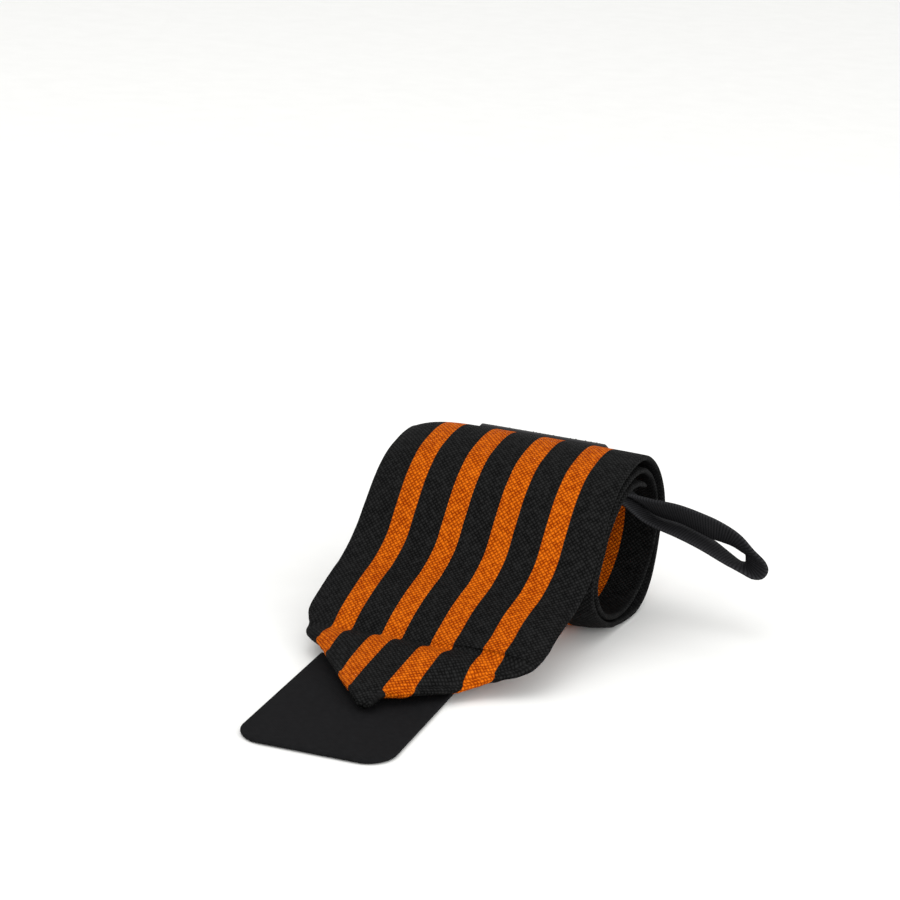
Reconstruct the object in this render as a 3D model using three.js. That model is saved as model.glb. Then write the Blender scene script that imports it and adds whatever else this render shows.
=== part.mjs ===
// A striped elastic wrist wrap lying on its side, partly unrolled: the band is wound into a loose oval roll,
// its free end runs down to the floor and is folded to a point, a hook tab is sewn under that point,
// a patch of soft pile that the tab grips is sewn on the back of the roll, and a thumb loop sewn to
// the band's inner end comes out of the roll's right-hand opening.
// Millimetres, +Z up. The roll's axis runs along X, the free end points to -Y, the floor is z = 0.
import * as THREE from 'three';

const { degToRad, lerp, smoothstep } = THREE.MathUtils;

// Clearance between pieces that are sewn or pressed together
const GAP = 0.4;

// Band of woven elastic
const BAND_WIDTH = 80;
const BAND_THICKNESS = 1.8;
const BAND_STEP = 3.5;
const LENGTH_DIVISIONS = 2000;
const BAND_COLUMNS = [0, 0.05, 0.18, 0.34, 0.5, 0.66, 0.82, 0.95, 1];

// How sharply the band's edges curve in: on the roll only near the selvedge, on the folded point as an arch
const EDGE_DROP_POWER = 6;
const POINT_DROP_POWER = 2.5;
const FOLD_ROUND_POWER = 4;

// Oval section of the roll, leaning back and pressed flat where it rests
const ROLL_HALF_DEPTH = 29.9;
const ROLL_HALF_HEIGHT = 26.4;
const ROLL_LEAN = degToRad(17);
const ROLL_SINK = 0.6;
const WINDING_STEP_DEG = 12;

// How far the band's outer face lies inside that oval, by winding angle in degrees, and how much further in
// the left and right edges lie. The angle is 0 at the back, 90 at the top and 180 at the front,
// and each 360 less is one turn further in.
const WINDING = [
  { place: 'inner end, upper back', angle: -680, inset: 6.2, left: 1.8, right: 1.2 },
  { place: 'third layer, top', angle: -630, inset: 6.5, left: 2.8, right: 1.0 },
  { place: 'third layer, upper front', angle: -600, inset: 6.9, left: 2.0, right: 1.2 },
  { place: 'third layer, above the front', angle: -575, inset: 6.4, left: 1.8, right: 1.2 },
  { place: 'third layer, front', angle: -540, inset: 2.2, left: 1.0, right: 1.0 },
  { place: 'second layer, bottom', angle: -470, inset: 3.0, left: 1.4, right: 1.5 },
  { place: 'second layer, back', angle: -360, inset: 3.0, left: 1.4, right: 1.2 },
  { place: 'second layer, upper back', angle: -310, inset: 2.2, left: 3.0, right: 0.9 },
  { place: 'second layer, top', angle: -270, inset: 3.6, left: 3.0, right: 0.9 },
  { place: 'second layer, upper front', angle: -240, inset: 4.6, left: 2.0, right: 1.2 },
  { place: 'second layer, above the front', angle: -215, inset: 4.1, left: 1.8, right: 1.2 },
  { place: 'second layer, front', angle: -180, inset: -0.4, left: 1.0, right: 1.0 },
  { place: 'outer layer, front foot', angle: -135, inset: -0.1, left: 1.2, right: 2.0 },
  { place: 'outer layer, bottom', angle: -120, inset: 0, left: 1.4, right: 2.0 },
  { place: 'outer layer, middle of the bottom', angle: -104, inset: 0, left: 1.4, right: 1.1 },
  { place: 'outer layer, back of the bottom', angle: -92, inset: -0.5, left: 1.4, right: 0.3 },
  { place: 'outer layer, back foot', angle: -80, inset: -1.8, left: 1.4, right: 0.1 },
  { place: 'outer layer, bulge', angle: -67, inset: -2.8, left: 1.4, right: 0.1 },
  { place: 'outer layer, above the bulge', angle: -54, inset: -1.6, left: 1.4, right: 0.1 },
  { place: 'outer layer, lower back', angle: -42, inset: -0.2, left: 1.4, right: 0.2 },
  { place: 'outer layer, below the middle of the back', angle: -28, inset: 0.4, left: 1.4, right: 0.4 },
  { place: 'outer layer, back', angle: 0, inset: 0, left: 1.4, right: 0.4 },
  { place: 'outer layer, upper back', angle: 50, inset: -1.2, left: 3.6, right: 0.6 },
  { place: 'outer layer, top', angle: 90, inset: 0.6, left: 3.6, right: 0.6 },
  { place: 'outer layer, upper front', angle: 120, inset: 1.8, left: 2.6, right: 1.0 },
];

// Upper face of the free end, by distance out from the roll's axis towards -Y:
// its height along the middle, and how much lower its left and right edges lie
const FREE_END = [
  { place: 'leaving the roll', out: 26.0, height: 34.2, left: 1.6, right: 1.6 },
  { place: 'foot of the slope', out: 31.9, height: 26.4, left: 0.4, right: 1.6 },
  { place: 'hollow bend', out: 41.3, height: 20.6, left: 1.4, right: 1.6 },
  { place: 'ramp', out: 51.9, height: 17.4, left: 2.2, right: 1.8 },
  { place: 'ramp foot', out: 60.9, height: 13.4, left: 1.8, right: 1.6 },
  { place: 'dip before the folded point', out: 68.2, height: 9.9, left: 2.4, right: 2.0 },
  { place: 'crest of the folded point', out: 76.5, height: 10.8, left: 5.2, right: 4.6 },
  { place: 'folded point', out: 96.0, height: 7.9, left: 3.4, right: 2.8 },
  { place: 'tip', out: 109.0, height: 5.2, left: 0.1, right: 0.1 },
];

// Point of the band: both corners are folded under, so it is two layers thick and arches down to its folds
const ARCH_START = 63;
const POINT_FOLD_LINE = 71;

// Left and right edges of the band and its point, by distance out from the roll's axis
const POINT_EDGES = [
  { place: 'full width', out: 58, left: 0, right: BAND_WIDTH },
  { place: 'corners folded in', out: 66, left: 3.4, right: 74 },
  { place: 'near the tip', out: 93, left: 27.5, right: 52 },
  { place: 'tip', out: 109, left: 40.5, right: 45.5 },
];

// Hook tab sewn under the point, turned a little in plan
const TAB_WIDTH = 46.6;
const TAB_THICKNESS = 1.3;
const TAB_FRONT_OUT = 137.3;
const TAB_FRONT_X = 40.85;
const TAB_LENGTH = 68;
const TAB_CORNER_RADIUS = 9;
const TAB_TURN = degToRad(6);
const TAB_CORNER_STEPS = 6;

// Patch of soft pile sewn on the band's outer face, on the back of the roll, for the hook tab to grip
const PATCH_LEFT = 20.5;
const PATCH_RIGHT = 64;
const PATCH_STEPS = 4;
const PATCH_THICKNESS = 1.6;
const PATCH_FROM_TIP = 139;
const PATCH_LENGTH = 50;

// Thumb loop: one elastic tape, doubled, its two ends lying on each other against the band's inner end
const TAPE_WIDTH = 12;
const TAPE_THICKNESS = 1.3;
const TAPE_STEP = 1.8;
const TAPE_COLUMNS = [0, 0.5, 1];
const ROOT_ANGLE = 56;
const INNER_TURN = 720;
const ROOT_FACE_RADIUS = 15;
const ROOT_START_X = 65;
const ROOT_END_X = 73;
const ROOT_GAP = 1.0;

// Middle of the tape beyond the sewn root: along the upper run, round the nose and back along the lower run.
// Tilt is how far the tape's back edge hangs lower than its front edge, and lead is how far its front edge
// stands farther out, as the nose turns like a fan, both in degrees.
const LOOP = [
  { place: 'upper run, passing the rim', x: 82, y: 11.8, z: 36.0, tilt: 40, lead: 0 },
  { place: 'upper run, widening', x: 92, y: 12.2, z: 34.9, tilt: 46, lead: 3 },
  { place: 'upper run, widest', x: 101, y: 12.8, z: 32.4, tilt: 51, lead: 8 },
  { place: 'upper run, turning', x: 106.5, y: 13.4, z: 30.7, tilt: 45, lead: 18 },
  { place: 'upper run, closing', x: 110.1, y: 13.6, z: 29.2, tilt: 37, lead: 26 },
  { place: 'into the nose', x: 113.9, y: 13.6, z: 26.6, tilt: 22, lead: 36 },
  { place: 'nose, upper part', x: 116.7, y: 13.6, z: 24.6, tilt: 5, lead: 49 },
  { place: 'nose', x: 117.3, y: 13.6, z: 22.8, tilt: -4, lead: 53 },
  { place: 'nose, lower part', x: 116.6, y: 13.6, z: 21.0, tilt: -12, lead: 45 },
  { place: 'out of the nose', x: 115.1, y: 13.6, z: 20.4, tilt: -7, lead: 32 },
  { place: 'lower run, turning', x: 112.8, y: 13.6, z: 20.9, tilt: 4, lead: 17 },
  { place: 'lower run, opening', x: 109.9, y: 13.6, z: 21.8, tilt: 10, lead: 4 },
  { place: 'lower run, rising', x: 105.2, y: 13.6, z: 24.0, tilt: 7, lead: 1 },
  { place: 'lower run, widest', x: 101, y: 13.6, z: 26.0, tilt: 4, lead: 0 },
  { place: 'lower run, narrowing', x: 92, y: 13.6, z: 29.1, tilt: 1, lead: 0 },
  { place: 'lower run, passing the rim', x: 82, y: 13.2, z: 31.2, tilt: 9, lead: 0 },
];

// Value of a table's column between two rows, easing in and out of each row
function easedColumn(table, key, column, at) {
  const next = Math.max(1, table.findIndex((row) => row[key] >= at));
  const [low, high] = [table[next - 1], table[next]];
  return lerp(low[column], high[column], smoothstep(at, low[key], high[key]));
}

// Place of the left or right edge, on straight lines between the rows of its table
function pointEdge(side, out) {
  const next = POINT_EDGES.findIndex((row) => row.out >= out);
  if (next < 1) return POINT_EDGES.at(next)[side];
  const [low, high] = [POINT_EDGES[next - 1], POINT_EDGES[next]];
  return lerp(low[side], high[side], (out - low.out) / (high.out - low.out));
}

// Closed sheet from rows of facing points: each point has an outer and an inner vertex
function sheetGeometry(rows) {
  const columns = rows[0].length;
  const positions = [];
  const faces = [];
  const outer = (i, j) => 2 * (i * columns + j);
  const inner = (i, j) => outer(i, j) + 1;
  const quad = (a, b, c, d) => faces.push(a, b, c, a, c, d);
  for (const row of rows) {
    for (const point of row) {
      positions.push(...point.outer.toArray(), ...point.inner.toArray());
    }
  }
  for (let i = 0; i + 1 < rows.length; i += 1) {
    for (let j = 0; j + 1 < columns; j += 1) {
      quad(outer(i, j), outer(i + 1, j), outer(i + 1, j + 1), outer(i, j + 1));
      quad(inner(i, j), inner(i, j + 1), inner(i + 1, j + 1), inner(i + 1, j));
    }
    quad(outer(i, 0), inner(i, 0), inner(i + 1, 0), outer(i + 1, 0));
    quad(outer(i, columns - 1), outer(i + 1, columns - 1), inner(i + 1, columns - 1), inner(i, columns - 1));
  }
  const last = rows.length - 1;
  for (let j = 0; j + 1 < columns; j += 1) {
    quad(outer(0, j), outer(0, j + 1), inner(0, j + 1), inner(0, j));
    quad(outer(last, j), inner(last, j), inner(last, j + 1), outer(last, j + 1));
  }
  const geometry = new THREE.BufferGeometry();
  geometry.setAttribute('position', new THREE.Float32BufferAttribute(positions, 3));
  geometry.setIndex(faces);
  geometry.computeVertexNormals();
  return geometry;
}

// Point of the roll's section, in the plane across its axis: inset mm inside the oval
function rollPoint(angleDeg, inset) {
  const angle = degToRad(angleDeg);
  const along = (ROLL_HALF_DEPTH - inset) * Math.cos(angle);
  const across = (ROLL_HALF_HEIGHT - inset) * Math.sin(angle);
  const halfRise = Math.hypot(ROLL_HALF_DEPTH * Math.sin(ROLL_LEAN), ROLL_HALF_HEIGHT * Math.cos(ROLL_LEAN));
  const y = along * Math.cos(ROLL_LEAN) - across * Math.sin(ROLL_LEAN);
  const z = along * Math.sin(ROLL_LEAN) + across * Math.cos(ROLL_LEAN);
  return new THREE.Vector3(0, y, halfRise - ROLL_SINK + z);
}

// Stations of the band's outer face, from its inner end round the roll and down to the tip
function bandStations() {
  const turns = Math.round((WINDING.at(-1).angle - WINDING[0].angle) / WINDING_STEP_DEG);
  const wound = Array.from({ length: turns + 1 }, (_, i) => {
    const angle = lerp(WINDING[0].angle, WINDING.at(-1).angle, i / turns);
    const value = (column) => easedColumn(WINDING, 'angle', column, angle);
    return { at: rollPoint(angle, value('inset')), left: value('left'), right: value('right'), free: false };
  });
  const free = FREE_END.map(({ out, height, left, right }) => (
    { at: new THREE.Vector3(0, -out, height), left, right, free: true }
  ));
  return [...wound, ...free];
}

// Evenly spaced sections of the band along a smooth curve through the stations
function bandSections() {
  const stations = bandStations();
  const curve = new THREE.CatmullRomCurve3(stations.map((station) => station.at), false, 'centripetal');
  curve.arcLengthDivisions = LENGTH_DIVISIONS;
  const steps = Math.round(curve.getLength() / BAND_STEP);
  return Array.from({ length: steps + 1 }, (_, i) => {
    const t = curve.getUtoTmapping(i / steps);
    const place = t * (stations.length - 1);
    const index = Math.min(Math.floor(place), stations.length - 2);
    const [before, after] = [stations[index], stations[index + 1]];
    const at = curve.getPoint(t);
    at.z = Math.max(0, at.z);
    const slope = curve.getTangent(t);
    return {
      at,
      normal: new THREE.Vector3(0, slope.z, -slope.y).normalize(),
      left: lerp(before.left, after.left, place - index),
      right: lerp(before.right, after.right, place - index),
      out: before.free ? -at.y : 0,
    };
  });
}

// Point of the band's outer face at a share of its width
function bandFace({ at, normal, left, right, out }, share) {
  const power = lerp(EDGE_DROP_POWER, POINT_DROP_POWER, smoothstep(out, ARCH_START, POINT_FOLD_LINE));
  const x = lerp(pointEdge('left', out), pointEdge('right', out), share);
  const drop = (share < 0.5 ? left : right) * Math.abs(2 * share - 1) ** power;
  return new THREE.Vector3(x, at.y, at.z).addScaledVector(normal, -drop);
}

// The folded point is two layers thick, thinning round the folds at its edges
function bandRows(sections) {
  return sections.map((section) => BAND_COLUMNS.map((share) => {
    const folded = section.out > POINT_FOLD_LINE ? 1 - Math.abs(2 * share - 1) ** FOLD_ROUND_POWER : 0;
    const outer = bandFace(section, share);
    const inner = outer.clone().addScaledVector(section.normal, -BAND_THICKNESS * (1 + folded));
    return { outer, inner };
  }));
}

// Patch lying on the band's outer face
function patchRows(sections) {
  const end = sections.length - Math.round(PATCH_FROM_TIP / BAND_STEP);
  const start = end - Math.round(PATCH_LENGTH / BAND_STEP);
  return sections.slice(start, end).map((section) => Array.from({ length: PATCH_STEPS + 1 }, (_, j) => {
    const x = lerp(PATCH_LEFT, PATCH_RIGHT, j / PATCH_STEPS);
    const face = bandFace(section, x / BAND_WIDTH);
    const inner = face.clone().addScaledVector(section.normal, GAP);
    const outer = inner.clone().addScaledVector(section.normal, PATCH_THICKNESS);
    return { outer, inner };
  }));
}

// Flat tab with round front corners, lying on the floor
function tabGeometry() {
  const [half, radius] = [TAB_WIDTH / 2, TAB_CORNER_RADIUS];
  const outline = new THREE.Shape();
  outline.moveTo(-half, TAB_LENGTH);
  outline.lineTo(-half, radius);
  outline.absarc(radius - half, radius, radius, Math.PI, 1.5 * Math.PI);
  outline.absarc(half - radius, radius, radius, 1.5 * Math.PI, 2 * Math.PI);
  outline.lineTo(half, TAB_LENGTH);
  return new THREE.ExtrudeGeometry(outline, {
    depth: TAB_THICKNESS,
    bevelEnabled: false,
    curveSegments: TAB_CORNER_STEPS,
  });
}

// Stations along the tape's middle: along the upper run, round the nose and back along the lower run
function tapeStations() {
  const innerFace = (angle) => (
    rollPoint(angle, easedColumn(WINDING, 'angle', 'inset', angle - INNER_TURN) + BAND_THICKNESS)
  );
  const face = innerFace(ROOT_ANGLE);
  const along = innerFace(ROOT_ANGLE + 1).sub(face).normalize();
  const inward = new THREE.Vector3(0, -along.z, along.y);
  const tilt = Math.atan2(along.z, -along.y);
  const sagitta = TAPE_WIDTH ** 2 / (8 * ROOT_FACE_RADIUS);
  const upper = face.clone().addScaledVector(inward, ROOT_GAP + sagitta + TAPE_THICKNESS / 2);
  const lower = upper.clone().addScaledVector(inward, GAP + TAPE_THICKNESS);
  const rootAt = (x, { y, z }) => ({ middle: new THREE.Vector3(x, y, z), tilt, lead: 0 });
  const loopAt = (row) => (
    { middle: new THREE.Vector3(row.x, row.y, row.z), tilt: degToRad(row.tilt), lead: degToRad(row.lead) }
  );
  return [
    rootAt(ROOT_START_X, upper),
    rootAt(ROOT_END_X, upper),
    ...LOOP.map(loopAt),
    rootAt(ROOT_END_X, lower),
    rootAt(ROOT_START_X, lower),
  ];
}

function tapeRows() {
  const stations = tapeStations();
  const middle = new THREE.CatmullRomCurve3(stations.map((station) => station.middle), false, 'centripetal');
  const spread = ({ tilt, lead }) => (
    new THREE.Vector3(Math.tan(lead), -Math.cos(tilt), Math.sin(tilt)).normalize()
  );
  const width = new THREE.CatmullRomCurve3(stations.map(spread), false, 'centripetal');
  const steps = Math.round(middle.getLength() / TAPE_STEP);
  const rows = [];
  for (let i = 0; i <= steps; i += 1) {
    const t = middle.getUtoTmapping(i / steps);
    const centre = middle.getPoint(t);
    const across = width.getPoint(t).normalize();
    const out = middle.getTangent(t).cross(across).normalize().multiplyScalar(TAPE_THICKNESS / 2);
    rows.push(TAPE_COLUMNS.map((share) => {
      const edge = centre.clone().addScaledVector(across, lerp(-TAPE_WIDTH / 2, TAPE_WIDTH / 2, share));
      return { outer: edge.clone().add(out), inner: edge.clone().sub(out) };
    }));
  }
  return rows;
}

// Names the piece and gives it its finish
function piece(name, geometry, finish) {
  const mesh = new THREE.Mesh(geometry, new THREE.MeshStandardMaterial({ metalness: 0, ...finish }));
  mesh.name = name;
  return mesh;
}

const wrap = new THREE.Group();
wrap.name = 'wrist_wrap';
const sections = bandSections();
wrap.add(piece('wrap_band', sheetGeometry(bandRows(sections)), { color: 0x1c1c1e, roughness: 0.9 }));
wrap.add(piece('pile_patch', sheetGeometry(patchRows(sections)), { color: 0x19191a, roughness: 0.95 }));
const tab = piece('hook_tab', tabGeometry(), { color: 0x242425, roughness: 0.85 });
tab.position.set(TAB_FRONT_X, -TAB_FRONT_OUT, 0);
tab.rotation.z = TAB_TURN;
wrap.add(tab);
wrap.add(piece('thumb_loop', sheetGeometry(tapeRows()), { color: 0x1a1a1b, roughness: 0.8 }));

// Stand the wrap on the floor with its bounding box centred on the origin
const bounds = new THREE.Box3().setFromObject(wrap, true);
const middle = bounds.getCenter(new THREE.Vector3());
wrap.position.set(-middle.x, -middle.y, -bounds.min.z);

export default wrap;
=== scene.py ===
# %% [markdown]
# # A striped wrist wrap, dressed in Blender around its CAD model
# The wrap is a long band of woven elastic, rolled up loosely and lying on its side, with its free end run
# out to a folded point. The CAD model gives every place and size, so this lesson starts by loading it as a
# fixed frame and keeping its box. Everything after that is cloth: finer meshes on the same paths, with
# cloth finishes.

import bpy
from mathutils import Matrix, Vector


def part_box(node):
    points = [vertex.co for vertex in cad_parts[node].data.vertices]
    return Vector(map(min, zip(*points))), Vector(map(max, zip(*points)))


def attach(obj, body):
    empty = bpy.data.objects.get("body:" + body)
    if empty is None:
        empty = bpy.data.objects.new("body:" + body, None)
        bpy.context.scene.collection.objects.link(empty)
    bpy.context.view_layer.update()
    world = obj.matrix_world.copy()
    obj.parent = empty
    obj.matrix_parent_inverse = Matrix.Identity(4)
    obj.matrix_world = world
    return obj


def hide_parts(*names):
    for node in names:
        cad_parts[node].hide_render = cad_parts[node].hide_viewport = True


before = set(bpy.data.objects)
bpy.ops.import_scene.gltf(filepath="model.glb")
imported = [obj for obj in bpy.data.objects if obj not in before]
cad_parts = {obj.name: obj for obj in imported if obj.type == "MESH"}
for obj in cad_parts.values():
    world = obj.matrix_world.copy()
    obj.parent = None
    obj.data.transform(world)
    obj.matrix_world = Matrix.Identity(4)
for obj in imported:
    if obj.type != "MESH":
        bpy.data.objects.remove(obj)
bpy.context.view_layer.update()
print("CAD nodes:", sorted(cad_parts))

# %% Blender and millimetres
import bpy
import numpy as np
from mathutils import Matrix, Vector

MM = 0.001
print("Blender", bpy.app.version_string)

# %% [markdown]
# ## Closed sheets
# Each piece of cloth here is a thin sheet with a rounded edge. A plane with a Solidify modifier would give
# square edges, so each row across the cloth is a closed ring instead: over the upper face, round one edge,
# back under the lower face and round the other edge. Rows of rings joined by quads make a watertight mesh.
# Every vertex carries its place on the flat cloth in millimetres, in an attribute named lay, and the weave
# is drawn from that.

# %% Rings
EDGE_POINTS = 6
edge_angles = np.pi * np.arange(1, EDGE_POINTS + 1) / (EDGE_POINTS + 1)


def ring_of(left, top, right_edge, bottom):
    """Rows of rings that start half-way up the left edge. Both edges are given from top to bottom."""
    half = EDGE_POINTS // 2
    upper, lower = left[:, :half][:, ::-1], left[:, half:][:, ::-1]
    return np.concatenate([upper, top, right_edge, bottom[:, ::-1], lower], axis=1)


def round_edge(top, bottom, outward):
    """Half-round edge from a top to a bottom point of each row, standing out by the outward vector."""
    middle, half = (top + bottom) / 2, (top - bottom) / 2
    sine, cosine = np.sin(edge_angles)[None, :, None], np.cos(edge_angles)[None, :, None]
    return middle[:, None] + sine * outward[:, None] + cosine * half[:, None]


def round_sheet(top, bottom, reach):
    """Rows of rings between an upper and a lower face, with half-round edges that stand out by reach."""
    left = round_edge(top[:, 0], bottom[:, 0], -reach)
    return ring_of(left, top, round_edge(top[:, -1], bottom[:, -1], reach), bottom)


def rounded_ends(places, length, radius, least):
    """Share of its thickness that a sheet of this length keeps at places along it, with its ends rounded."""
    from_end = np.minimum(places, length - places)
    return np.maximum(np.sqrt(1 - (1 - np.clip(from_end / radius, 0, 1)) ** 2), least)


print("each round edge has", EDGE_POINTS, "points")

# %% Map for baking
# shares of the map: length of a strip, gap between strips, and where the two end caps lie
STRIP_LENGTH, STRIP_GAP = 0.96, 0.01
CAP_FROM, CAP_TO, CAP_HEIGHT = 0.975, 0.995, 0.49


def bake_map(rows, around, strips):
    """Map for baking: each face of the sheet is cut into strips that lie one above another."""
    row, spot = np.meshgrid(np.arange(rows - 1), np.arange(around), indexing="ij")
    row, spot, half = row.ravel(), spot.ravel(), around // 2
    strip = row * strips // (rows - 1)
    start = STRIP_LENGTH * (row * strips / (rows - 1) - strip)
    end = start + STRIP_LENGTH * strips / (rows - 1)
    strip_height = 1 - 2 * STRIP_GAP
    low = (strip + strips * (spot // half) + STRIP_GAP + strip_height * (spot % half / half)) / (2 * strips)
    high = low + strip_height / half / (2 * strips)
    sides = np.stack([start, low, end, low, end, high, start, high], 1).reshape(-1, 4, 2)
    rung = np.arange(half - 1) / half
    above = rung + 1 / half
    foot, head = 0 * rung + CAP_FROM, 0 * rung + CAP_TO
    caps = np.stack([foot, rung, foot, above, head, above, head, rung], 1).reshape(-1, 4, 2) * (1, CAP_HEIGHT)
    return np.concatenate([sides, caps, caps + (0, 0.5)])


print("the end caps take the last", round(100 - 100 * STRIP_LENGTH), "percent of the map")

# %% Closed mesh from rings


def sheet_piece(name, rings, lay, strips=1):
    """Object with a closed mesh from rows of rings, given in millimetres in the CAD frame."""
    rows, around = rings.shape[:2]
    row, spot = np.meshgrid(np.arange(rows - 1) * around, np.arange(around), indexing="ij")
    row, spot, after = row.ravel(), spot.ravel(), (spot.ravel() + 1) % around
    sides = np.stack([row + spot, row + around + spot, row + around + after, row + after], 1)
    rung = np.arange(around // 2 - 1)
    first = np.stack([rung, rung + 1, around - 2 - rung, around - 1 - rung], 1)
    faces = np.concatenate([sides, first, first[:, ::-1] + (rows - 1) * around])
    points = rings.reshape(-1, 3) * MM
    corners = points[faces]
    volume = np.einsum("ij,ij->", np.cross(corners[:, 0], corners[:, 1]), corners[:, 2])
    volume += np.einsum("ij,ij->", np.cross(corners[:, 0], corners[:, 2]), corners[:, 3])
    places = bake_map(rows, around, strips)
    if volume < 0:
        faces, places = faces[:, ::-1], places[:, ::-1]
    mesh = bpy.data.meshes.new(name)
    mesh.from_pydata(points.tolist(), [], faces.tolist())
    mesh.shade_smooth()
    flat_place = mesh.attributes.new("lay", "FLOAT_VECTOR", "POINT")
    flat_place.data.foreach_set("vector", lay.ravel().astype(np.float32))
    mesh.uv_layers.new(name="OFBake").uv.foreach_set("vector", places.ravel().astype(np.float32))
    piece = bpy.data.objects.new(name, mesh)
    bpy.context.scene.collection.objects.link(piece)
    print(name, "has", 2 * len(faces), "triangles and", round(abs(volume) / 6 * 1e6, 2), "cubic centimetres")
    return piece


# %% [markdown]
# ## Path of the band
# On the real wrap the band was rolled up from the end that carries the thumb loop, then its other end was
# pulled out. A cloth simulation could roll it, but it would never settle on the same oval twice, so the
# path is written down: a table of how far each layer lies inside the roll's oval, and a table of heights
# for the free end. The free end drops in a ramp, dips, and steps up where the folded-under corners begin. A
# curve through all of these gives the upper face, and every row also says how much lower its left and right
# edges lie.

# %% Tables of the path, in millimetres
BAND_WIDTH = 80.0
BAND_THICKNESS = 1.8
ROLL_HALF_DEPTH = 29.9
ROLL_HALF_HEIGHT = 26.4
ROLL_LEAN = np.radians(17)
ROLL_SINK = 0.6

# angle in degrees, inset, left edge lower by, right edge lower by
WINDING = np.array([
    (-680, 6.2, 1.8, 1.2),
    (-630, 6.5, 2.8, 1.0),
    (-600, 6.9, 2.0, 1.2),
    (-575, 6.4, 1.8, 1.2),
    (-540, 2.2, 1.0, 1.0),
    (-470, 3.0, 1.4, 1.5),
    (-360, 3.0, 1.4, 1.2),
    (-310, 2.2, 3.0, 0.9),
    (-270, 3.6, 3.0, 0.9),
    (-240, 4.6, 2.0, 1.2),
    (-215, 4.1, 1.8, 1.2),
    (-180, -0.4, 1.0, 0.4),
    (-135, -0.1, 1.2, 2.0),
    (-120, 0.0, 1.4, 1.8),
    (-104, 0.0, 1.4, 0.5),
    (-92, -0.7, 1.4, 0.1),
    (-80, -2.1, 1.4, 0.1),
    (-67, -2.8, 1.4, 0.1),
    (-54, -1.6, 1.4, 0.1),
    (-42, -0.2, 1.4, 0.2),
    (-28, 0.4, 1.4, 0.4),
    (0, 0.0, 1.4, 0.4),
    (50, -1.2, 3.6, 0.2),
    (90, 0.6, 3.6, 0.5),
    (120, 1.8, 2.6, 1.0),
])
print(len(WINDING), "rows for the roll")

# %% Heights of the free end, in millimetres
# distance out from the roll's axis, height, left edge lower by, right edge lower by
FREE_END = np.array([
    (26.0, 34.2, 1.6, 1.6),
    (31.9, 26.4, 0.4, 1.6),
    (41.3, 20.8, 1.4, 1.6),
    (47.0, 19.0, 1.8, 1.7),
    (52.0, 17.4, 2.0, 2.2),
    (56.0, 15.8, 2.0, 2.1),
    (60.0, 13.9, 2.2, 1.9),
    (63.5, 11.9, 2.5, 1.7),
    (66.0, 10.1, 2.2, 2.0),
    (67.4, 9.2, 1.7, 2.4),
    (68.4, 9.3, 1.9, 2.8),
    (70.5, 10.1, 3.1, 3.1),
    (73.0, 10.9, 3.9, 3.7),
    (75.5, 11.2, 4.4, 4.4),
    (79.0, 10.9, 4.5, 5.9),
    (84.0, 10.0, 4.0, 6.4),
    (90.0, 8.9, 3.3, 4.8),
    (95.0, 7.9, 2.6, 3.0),
    (99.5, 7.1, 2.0, 2.4),
    (102.5, 6.4, 1.5, 1.8),
    (105.5, 5.3, 0.8, 1.0),
    (107.3, 4.3, 0.2, 0.2),
])
print(len(FREE_END), "rows for the free end")

# %% Edges of the point, in millimetres
# distance out, left edge, right edge: the corners are folded under along these lines, and in front of the
# right-hand fold a corner of the folded-under cloth sticks out as a small nub
POINT_EDGES = np.array([
    (60.0, 0.0, 80.0),
    (62.0, 0.1, 80.0),
    (63.5, 0.5, 80.0),
    (65.0, 1.3, 80.0),
    (67.4, 3.2, 79.0),
    (70.1, 5.6, 75.3),
    (72.5, 7.7, 72.1),
    (81.2, 15.6, 64.5),
    (87.0, 20.9, 59.6),
    (93.0, 26.5, 54.3),
    (97.0, 30.4, 50.9),
    (98.8, 32.1, 49.0),
    (99.8, 33.1, 46.6),
    (100.6, 33.8, 45.4),
    (103.0, 36.0, 45.3),
    (105.5, 38.5, 45.0),
    (107.3, 40.6, 43.8),
])
print(len(POINT_EDGES), "rows for the edges of the point")

# %% Curve through the stations
CURVE_STEPS = 40
WINDING_STEP_DEG = 12


def smoothstep(value, low, high):
    share = np.clip((value - low) / (high - low), 0, 1)
    return share * share * (3 - 2 * share)


def eased(table, column, at):
    """A column of a table, easing in and out of each row."""
    following = np.clip(np.searchsorted(table[:, 0], at), 1, len(table) - 1)
    before, after = table[following - 1], table[following]
    share = smoothstep(at, before[..., 0], after[..., 0])
    return before[..., column] + (after[..., column] - before[..., column]) * share


def smooth_curve(stations):
    """Points along a centripetal curve through the stations, CURVE_STEPS to each stretch."""
    padded = np.concatenate([[2 * stations[0] - stations[1]], stations, [2 * stations[-1] - stations[-2]]])
    share = (np.arange(CURVE_STEPS) / CURVE_STEPS)[:, None]
    found = []
    for first, start, end, last in zip(padded, padded[1:], padded[2:], padded[3:]):
        before, across, after = (np.sqrt(np.linalg.norm(d)) for d in (start - first, end - start, last - end))
        across = across or 1.0
        before, after = before or across, after or across
        leave = (start - first) / before - (end - first) / (before + across) + (end - start) / across
        arrive = (end - start) / across - (last - start) / (across + after) + (last - end) / after
        leave, arrive = leave * across, arrive * across
        curve = start + leave * share + (3 * (end - start) - 2 * leave - arrive) * share**2
        found.append(curve + (2 * (start - end) + leave + arrive) * share**3)
    return np.concatenate([*found, stations[-1:]])


def along(points):
    """Length along a line of points, from its start."""
    return np.concatenate([[0], np.cumsum(np.linalg.norm(np.diff(points, axis=0), axis=1))])


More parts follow.
